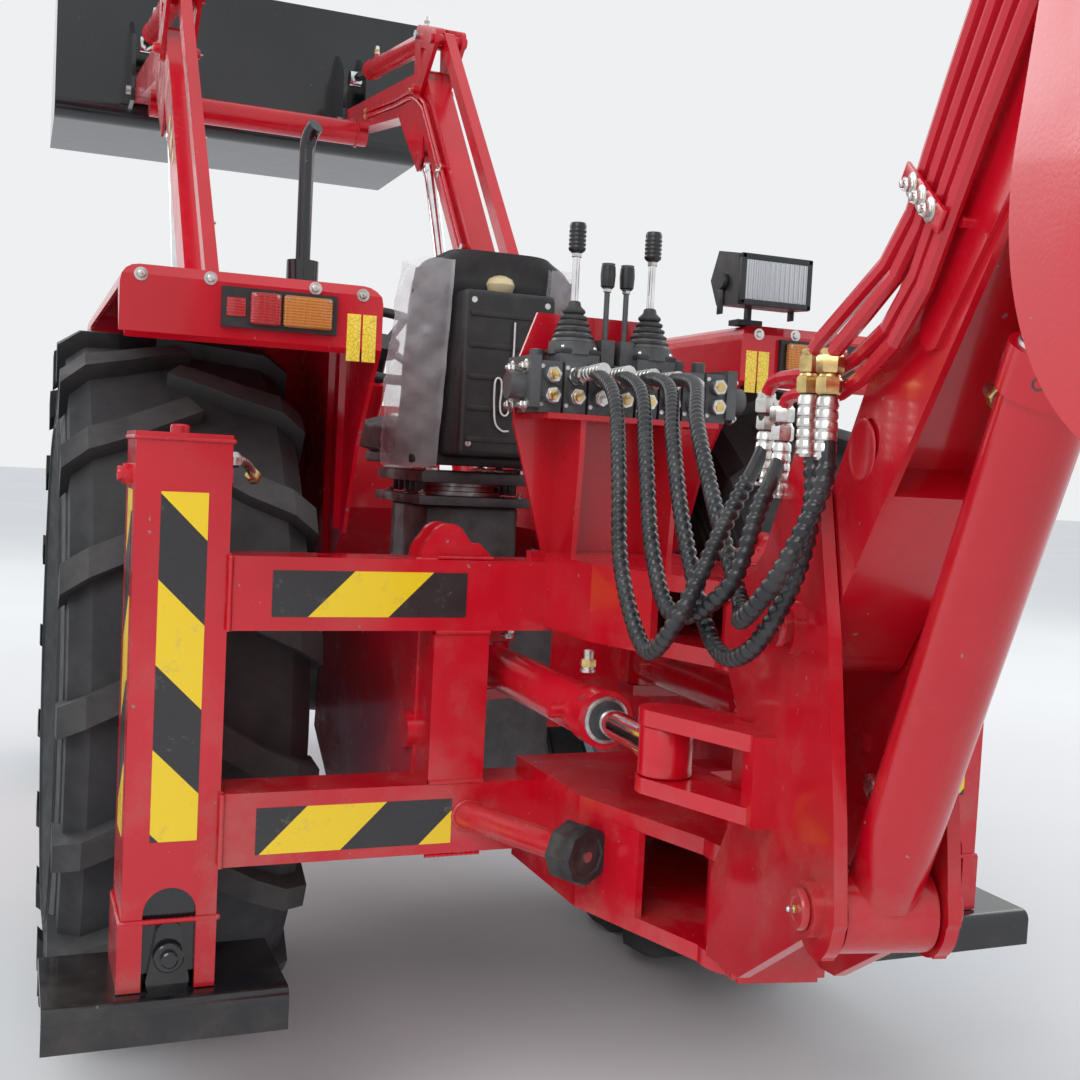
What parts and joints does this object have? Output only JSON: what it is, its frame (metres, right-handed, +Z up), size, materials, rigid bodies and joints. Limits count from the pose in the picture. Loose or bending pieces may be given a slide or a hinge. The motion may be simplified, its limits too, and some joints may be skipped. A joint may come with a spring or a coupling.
{
  "type": "backhoe loader",
  "caption": "Utility tractor with a raised front loader, a side-swinging rear hoe on a kingpin tower, two box stabilizers and hydraulic cylinders on every link.",
  "frame": {"origin": "on the ground, midway along the machine's overall length, on its centre plane", "axes": "+X forward from the hoe to the loader, +Y to the machine's left, +Z up"},
  "size_m": [7.8045, 1.938, 3.52],
  "materials": {
    "red_paint": "gloss",
    "black_paint": "gloss",
    "seat_shell": "satin",
    "grey_iron": "painted",
    "chrome_rod": "polished",
    "pin_steel": "turned",
    "rim_blue": "satin",
    "hose_rubber": "moulded",
    "tyre": "moulded"
  },
  "bodies": {
    "machine": {"engine": "grey_iron", "gearbox": "grey_iron", "bonnet": "red_paint", "grille": "black_paint", "dash": "red_paint", "fenders": "red_paint", "platform": "red_paint", "seat": "seat_shell", "exhaust": "black_paint", "lamps": "black_paint", "loader_frame": "red_paint", "hoe_frame": "red_paint", "leg_sleeves": "red_paint", "valve_bank": "grey_iron", "front_axle": "red_paint", "hoe_hoses_lower": "hose_rubber"},
    "steering_wheel": {"steering_wheel": "black_paint"},
    "knuckle_left": {"knuckle_left": "grey_iron"},
    "knuckle_right": {"knuckle_right": "grey_iron"},
    "tie_rod": {"tie_rod": "grey_iron"},
    "wheel_front_left": {"front_rim_left": "rim_blue", "front_tyre_left": "tyre"},
    "wheel_front_right": {"front_rim_right": "rim_blue", "front_tyre_right": "tyre"},
    "wheel_rear_left": {"rear_rim_left": "rim_blue", "rear_tyre_left": "tyre"},
    "wheel_rear_right": {"rear_rim_right": "rim_blue", "rear_tyre_right": "tyre"},
    "loader_arms": {"loader_arms": "red_paint"},
    "level_links": {"level_links": "red_paint"},
    "bellcranks": {"bellcranks": "red_paint"},
    "bucket_pins": {"bucket_pins": "pin_steel"},
    "loader_bucket": {"loader_bucket": "black_paint"},
    "lift_barrels": {"lift_barrels": "red_paint"},
    "lift_rods": {"lift_rods": "chrome_rod"},
    "tilt_barrels": {"tilt_barrels": "red_paint", "bellcrank_pins": "pin_steel"},
    "tilt_rods": {"tilt_rods": "chrome_rod"},
    "swing_tower": {"swing_tower": "red_paint", "hoe_hoses_upper": "hose_rubber"},
    "swing_barrel_left": {"swing_barrel_left": "red_paint"},
    "swing_rod_left": {"swing_rod_left": "chrome_rod"},
    "swing_barrel_right": {"swing_barrel_right": "red_paint"},
    "swing_rod_right": {"swing_rod_right": "chrome_rod"},
    "boom": {"boom": "red_paint", "boom_pipes": "red_paint"},
    "boom_barrel": {"boom_barrel": "red_paint"},
    "boom_rod": {"boom_rod": "chrome_rod"},
    "dipper": {"dipper": "red_paint"},
    "dipper_barrel": {"dipper_barrel": "red_paint"},
    "dipper_rod": {"dipper_rod": "chrome_rod"},
    "curl_barrel": {"curl_barrel": "red_paint"},
    "curl_rod": {"curl_rod": "chrome_rod"},
    "rocker": {"rocker": "red_paint"},
    "bucket_link": {"bucket_link": "red_paint"},
    "hoe_bucket": {"hoe_bucket": "red_paint"},
    "leg_left": {"leg_left": "black_paint"},
    "leg_right": {"leg_right": "black_paint"}
  },
  "joints": [
    {"name": "steer_left", "type": "hinge", "parent": "machine", "child": "knuckle_left", "pos_m": [1.83286, 0.545, 0.56], "axis": [0, 0, 1], "range_deg": [-40, 40]},
    {"name": "steer_right", "type": "hinge", "parent": "machine", "child": "knuckle_right", "pos_m": [1.83286, -0.545, 0.56], "axis": [0, 0, 1], "range_deg": [-40, 40]},
    {"name": "tie_rod_ball", "type": "hinge", "parent": "knuckle_left", "child": "tie_rod", "pos_m": [1.68286, 0.545, 0.47], "axis": [0, 0, 1], "range_deg": [-40, 40]},
    {"name": "steering_wheel_turn", "type": "hinge", "parent": "machine", "child": "steering_wheel", "pos_m": [0.28286, 0, 1.62], "axis": [-0.5755, 0, 0.8178], "range_deg": [-540, 540]},
    {"name": "wheel_front_left_turn", "type": "hinge", "parent": "knuckle_left", "child": "wheel_front_left", "pos_m": [1.83286, 0.725, 0.402], "axis": [0, 1, 0], "continuous": true},
    {"name": "wheel_rear_left_turn", "type": "hinge", "parent": "machine", "child": "wheel_rear_left", "pos_m": [-0.45714, 0.715, 0.765], "axis": [0, 1, 0], "continuous": true},
    {"name": "wheel_front_right_turn", "type": "hinge", "parent": "knuckle_right", "child": "wheel_front_right", "pos_m": [1.83286, -0.725, 0.402], "axis": [0, 1, 0], "continuous": true},
    {"name": "wheel_rear_right_turn", "type": "hinge", "parent": "machine", "child": "wheel_rear_right", "pos_m": [-0.45714, -0.715, 0.765], "axis": [0, 1, 0], "continuous": true},
    {"name": "loader_lift", "type": "hinge", "parent": "machine", "child": "loader_arms", "pos_m": [0.42286, 0, 1.42], "axis": [0, -1, 0], "range_deg": [-57.5, 4]},
    {"name": "level_link_pin", "type": "hinge", "parent": "machine", "child": "level_links", "pos_m": [0.23286, 0, 1.57], "axis": [0, -1, 0], "range_deg": [-57.5, 4]},
    {"name": "bellcrank_knee", "type": "hinge", "parent": "loader_arms", "child": "bellcranks", "pos_m": [1.59286, 0, 2.76], "axis": [0, -1, 0], "range_deg": [-4, 57.5]},
    {"name": "tilt_barrel_pin", "type": "hinge", "parent": "bellcranks", "child": "tilt_barrels", "pos_m": [1.61286, 0, 2.98], "axis": [0, -1, 0], "range_deg": [-57.5, 4]},
    {"name": "bucket_level", "type": "hinge", "parent": "loader_arms", "child": "bucket_pins", "pos_m": [2.92286, 0, 2.93], "axis": [0, -1, 0], "range_deg": [-4, 57.5]},
    {"name": "bucket_tilt", "type": "hinge", "parent": "bucket_pins", "child": "loader_bucket", "pos_m": [2.92286, 0, 2.93], "axis": [0, -1, 0], "range_deg": [-48, 28]},
    {"name": "lift_barrel_pin", "type": "hinge", "parent": "machine", "child": "lift_barrels", "pos_m": [0.69286, 0, 0.76], "axis": [0, -1, 0], "range_deg": [-49.35, 3.44]},
    {"name": "lift_rod_slide", "type": "slide", "parent": "lift_barrels", "child": "lift_rods", "axis": [0.4596, 0, 0.8881], "range_m": [-0.65192, 0.04544]},
    {"name": "tilt_rod_slide", "type": "slide", "parent": "tilt_barrels", "child": "tilt_rods", "axis": [0.9919, 0, 0.1268], "range_m": [-0.07985, 0.13682]},
    {"name": "hoe_swing", "type": "hinge", "parent": "machine", "child": "swing_tower", "pos_m": [-1.92714, 0, 0.8685], "axis": [0, 0, -1], "range_deg": [-82, 58], "deforming": ["hoe_hoses_lower"]},
    {"name": "swing_barrel_left_pin", "type": "hinge", "parent": "machine", "child": "swing_barrel_left", "pos_m": [-1.22714, 0.17, 0.895], "axis": [0, 0, -1], "range_deg": [-8.93, 6.32]},
    {"name": "swing_rod_left_slide", "type": "slide", "parent": "swing_barrel_left", "child": "swing_rod_left", "axis": [-0.9999, 0.016, 0], "range_m": [-0.14708, 0.20791]},
    {"name": "swing_barrel_right_pin", "type": "hinge", "parent": "machine", "child": "swing_barrel_right", "pos_m": [-1.22714, -0.17, 0.895], "axis": [0, 0, -1], "range_deg": [-8.96, 6.34]},
    {"name": "swing_rod_right_slide", "type": "slide", "parent": "swing_barrel_right", "child": "swing_rod_right", "axis": [-0.9994, 0.0353, 0], "range_m": [-0.20805, 0.14719]},
    {"name": "boom_foot", "type": "hinge", "parent": "swing_tower", "child": "boom", "pos_m": [-2.23232, 0.06487, 1.095], "axis": [0.2079, 0.9781, 0], "range_deg": [-66, 18], "deforming": ["hoe_hoses_upper"]},
    {"name": "boom_barrel_pin", "type": "hinge", "parent": "swing_tower", "child": "boom_barrel", "pos_m": [-2.35459, 0.09086, 0.787], "axis": [0.2079, 0.9781, 0], "range_deg": [-58.97, 16.09]},
    {"name": "boom_rod_slide", "type": "slide", "parent": "boom_barrel", "child": "boom_rod", "axis": [-0.4287, 0.0911, 0.8988], "range_m": [-0.33911, 0.09256]},
    {"name": "dipper_pivot", "type": "hinge", "parent": "boom", "child": "dipper", "pos_m": [-3.70745, 0.37842, 2.67422], "axis": [0.2079, 0.9781, 0], "range_deg": [0, 96]},
    {"name": "dipper_barrel_pin", "type": "hinge", "parent": "boom", "child": "dipper_barrel", "pos_m": [-2.79318, 0.18408, 2.12805], "axis": [0.2079, 0.9781, 0], "range_deg": [-0.01, 7.21]},
    {"name": "dipper_rod_slide", "type": "slide", "parent": "dipper_barrel", "child": "dipper_rod", "axis": [-0.7394, 0.1572, 0.6547], "range_m": [-0.47863, 0.0001]},
    {"name": "hoe_bucket_pivot", "type": "hinge", "parent": "dipper", "child": "hoe_bucket", "pos_m": [-3.45528, 0.32482, 1.46131], "axis": [0.2079, 0.9781, 0], "range_deg": [0, 150]},
    {"name": "rocker_pivot", "type": "hinge", "parent": "dipper", "child": "rocker", "pos_m": [-3.52729, 0.34012, 1.71147], "axis": [0.2079, 0.9781, 0], "range_deg": [-0.01, 97.5]},
    {"name": "bucket_link_pin", "type": "hinge", "parent": "rocker", "child": "bucket_link", "pos_m": [-3.59252, 0.35399, 1.44984], "axis": [0.2079, 0.9781, 0], "range_deg": [-95.42, 0.01]},
    {"name": "curl_barrel_pin", "type": "hinge", "parent": "dipper", "child": "curl_barrel", "pos_m": [-3.8396, 0.40651, 2.49215], "axis": [0.2079, 0.9781, 0], "range_deg": [-0.01, 12.54]},
    {"name": "curl_rod_slide", "type": "slide", "parent": "curl_barrel", "child": "curl_rod", "axis": [0.2304, -0.049, -0.9719], "range_m": [-0.34122, 0.0001]},
    {"name": "leg_left_slide", "type": "slide", "parent": "machine", "child": "leg_left", "axis": [0, 0, -1], "range_m": [0, 0.32]},
    {"name": "leg_right_slide", "type": "slide", "parent": "machine", "child": "leg_right", "axis": [0, 0, -1], "range_m": [0, 0.32]}
  ],
  "couplings": [
    {"joint": "steer_right", "follows": "steer_left", "ratio": 1},
    {"joint": "tie_rod_ball", "follows": "steer_left", "ratio": -1},
    {"joint": "steering_wheel_turn", "follows": "steer_left", "ratio": 13.5},
    {"joint": "level_link_pin", "follows": "loader_lift", "ratio": 1},
    {"joint": "bellcrank_knee", "follows": "loader_lift", "ratio": -1},
    {"joint": "tilt_barrel_pin", "follows": "loader_lift", "ratio": 1},
    {"joint": "bucket_level", "follows": "loader_lift", "ratio": -1},
    {"joint": "lift_barrel_pin", "follows": "loader_lift", "ratio": 0.8581},
    {"joint": "lift_rod_slide", "follows": "loader_lift", "m_per_rad": 0.6495},
    {"joint": "tilt_rod_slide", "follows": "bucket_tilt", "m_per_rad": -0.1632},
    {"joint": "swing_barrel_left_pin", "follows": "hoe_swing", "ratio": 0.1088},
    {"joint": "swing_rod_left_slide", "follows": "hoe_swing", "m_per_rad": -0.1452},
    {"joint": "swing_barrel_right_pin", "follows": "hoe_swing", "ratio": 0.1091},
    {"joint": "swing_rod_right_slide", "follows": "hoe_swing", "m_per_rad": 0.1453},
    {"joint": "boom_barrel_pin", "follows": "boom_foot", "ratio": 0.8934},
    {"joint": "boom_rod_slide", "follows": "boom_foot", "m_per_rad": 0.2943},
    {"joint": "dipper_barrel_pin", "follows": "dipper_pivot", "ratio": 0.075},
    {"joint": "dipper_rod_slide", "follows": "dipper_pivot", "m_per_rad": -0.2856},
    {"joint": "rocker_pivot", "follows": "hoe_bucket_pivot", "ratio": 0.64994},
    {"joint": "bucket_link_pin", "follows": "hoe_bucket_pivot", "ratio": -0.63605},
    {"joint": "curl_barrel_pin", "follows": "hoe_bucket_pivot", "ratio": 0.0835},
    {"joint": "curl_rod_slide", "follows": "hoe_bucket_pivot", "m_per_rad": -0.1303}
  ]
}
